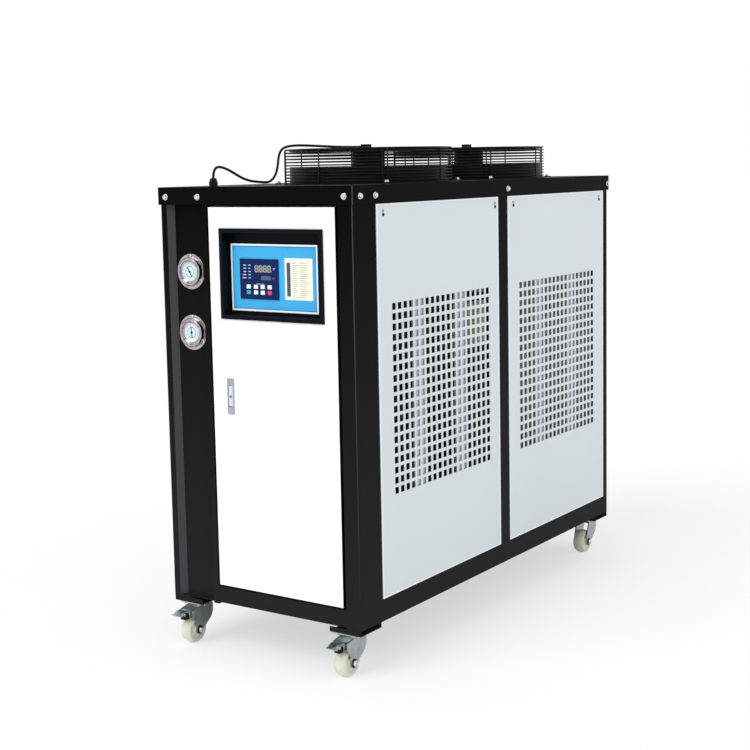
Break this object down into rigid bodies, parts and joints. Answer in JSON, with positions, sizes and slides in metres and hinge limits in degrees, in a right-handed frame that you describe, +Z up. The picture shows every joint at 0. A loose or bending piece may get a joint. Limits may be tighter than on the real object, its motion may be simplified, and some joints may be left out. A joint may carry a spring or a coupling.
{
  "type": "water chiller",
  "caption": "Air-cooled box water chiller on swivel casters, with perforated side panels, a hinged front door with a sunken controller, dial gauges and caged axial fans in its top.",
  "frame": {"origin": "on the floor under the middle of the outline, front brake pedals included and the fan cable left out", "axes": "+X to the right as one faces the door, +Y from the door towards the rear, +Z up"},
  "size_m": [0.625, 1.496, 1.3407],
  "materials": {
    "black_frame": "semi-gloss black powder coat",
    "side_panel_white": "satin grey-white powder coat",
    "stiffener_white": "satin white powder coat",
    "door_white": "semi-gloss white powder coat",
    "black_plastic": "satin moulded",
    "latch_grey": "satin grey coat on die-cast zinc",
    "blue_plate": "smooth printed film",
    "navy_controller": "smooth film keypad",
    "gauge_chrome": "polished",
    "guard_wire": "black coated wire",
    "fan_black": "satin black",
    "cable_jacket": "smooth matt",
    "tank_insulation": "matt foam skin",
    "coil_aluminium": "finned",
    "caster_zinc": "bright zinc plate",
    "wheel_nylon": "smooth moulded nylon"
  },
  "bodies": {
    "cabinet": {"top_cover": "black_frame", "front_left_column": "black_frame", "corner_posts": "black_frame", "middle_posts": "black_frame", "bottom_rails": "black_frame", "top_rails": "black_frame", "base_pan": "black_frame", "right_front_panel": "side_panel_white", "right_rear_panel": "side_panel_white", "left_front_panel": "side_panel_white", "left_rear_panel": "side_panel_white", "panel_stiffeners": "stiffener_white", "rear_panel": "side_panel_white", "pressure_gauges": "gauge_chrome", "front_fan_collar": "black_frame", "rear_fan_collar": "black_frame", "front_fan_guard": "guard_wire", "rear_fan_guard": "guard_wire", "front_fan_motor": "fan_black", "rear_fan_motor": "fan_black", "cable_gland": "black_plastic", "fan_cable": "cable_jacket", "water_tank": "tank_insulation", "compressor": "fan_black", "condenser_coil": "coil_aluminium", "caster_brackets": "black_frame", "caster_plates": "caster_zinc"},
    "door": {"front_door": "door_white", "control_bezel": "black_plastic", "control_plate": "blue_plate", "controller_module": "navy_controller", "latch_case": "latch_grey"},
    "latch": {"latch_lever": "latch_grey"},
    "front_rotor": {"front_fan_rotor": "fan_black"},
    "rear_rotor": {"rear_fan_rotor": "fan_black"},
    "front_left_swivel": {"front_left_fork": "caster_zinc"},
    "front_right_swivel": {"front_right_fork": "caster_zinc"},
    "rear_left_swivel": {"rear_left_fork": "caster_zinc"},
    "rear_right_swivel": {"rear_right_fork": "caster_zinc"},
    "front_left_roller": {"front_left_wheel": "wheel_nylon"},
    "front_right_roller": {"front_right_wheel": "wheel_nylon"},
    "rear_left_roller": {"rear_left_wheel": "wheel_nylon"},
    "rear_right_roller": {"rear_right_wheel": "wheel_nylon"},
    "front_left_brake": {"front_left_pedal": "caster_zinc"},
    "front_right_brake": {"front_right_pedal": "caster_zinc"}
  },
  "joints": [
    {"name": "door_swing", "type": "hinge", "parent": "cabinet", "child": "door", "pos_m": [0.2465, -0.674, 0.179], "axis": [0, 0, 1], "range_deg": [0, 110]},
    {"name": "latch_lift", "type": "hinge", "parent": "door", "child": "latch", "pos_m": [-0.088, -0.68, 0.667], "axis": [1, 0, 0], "range_deg": [0, 60]},
    {"name": "front_fan_spin", "type": "hinge", "parent": "cabinet", "child": "front_rotor", "pos_m": [0, -0.159, 1.28], "axis": [0, 0, 1], "continuous": true},
    {"name": "rear_fan_spin", "type": "hinge", "parent": "cabinet", "child": "rear_rotor", "pos_m": [0, 0.394, 1.28], "axis": [0, 0, 1], "continuous": true},
    {"name": "front_left_swivel_turn", "type": "hinge", "parent": "cabinet", "child": "front_left_swivel", "pos_m": [-0.255, -0.64, 0.1], "axis": [0, 0, 1], "continuous": true},
    {"name": "front_right_swivel_turn", "type": "hinge", "parent": "cabinet", "child": "front_right_swivel", "pos_m": [0.255, -0.64, 0.1], "axis": [0, 0, 1], "continuous": true},
    {"name": "rear_left_swivel_turn", "type": "hinge", "parent": "cabinet", "child": "rear_left_swivel", "pos_m": [-0.255, 0.701, 0.1], "axis": [0, 0, 1], "continuous": true},
    {"name": "rear_right_swivel_turn", "type": "hinge", "parent": "cabinet", "child": "rear_right_swivel", "pos_m": [0.255, 0.701, 0.1], "axis": [0, 0, 1], "continuous": true},
    {"name": "front_left_roll", "type": "hinge", "parent": "front_left_swivel", "child": "front_left_roller", "pos_m": [-0.255, -0.672, 0.0375], "axis": [1, 0, 0], "continuous": true},
    {"name": "front_right_roll", "type": "hinge", "parent": "front_right_swivel", "child": "front_right_roller", "pos_m": [0.255, -0.672, 0.0375], "axis": [1, 0, 0], "continuous": true},
    {"name": "rear_left_roll", "type": "hinge", "parent": "rear_left_swivel", "child": "rear_left_roller", "pos_m": [-0.255, 0.669, 0.0375], "axis": [1, 0, 0], "continuous": true},
    {"name": "rear_right_roll", "type": "hinge", "parent": "rear_right_swivel", "child": "rear_right_roller", "pos_m": [0.255, 0.669, 0.0375], "axis": [1, 0, 0], "continuous": true},
    {"name": "front_left_brake_press", "type": "hinge", "parent": "front_left_swivel", "child": "front_left_brake", "pos_m": [-0.255, -0.69, 0.088], "axis": [1, 0, 0], "range_deg": [0, 12]},
    {"name": "front_right_brake_press", "type": "hinge", "parent": "front_right_swivel", "child": "front_right_brake", "pos_m": [0.255, -0.69, 0.088], "axis": [1, 0, 0], "range_deg": [0, 12]}
  ]
}
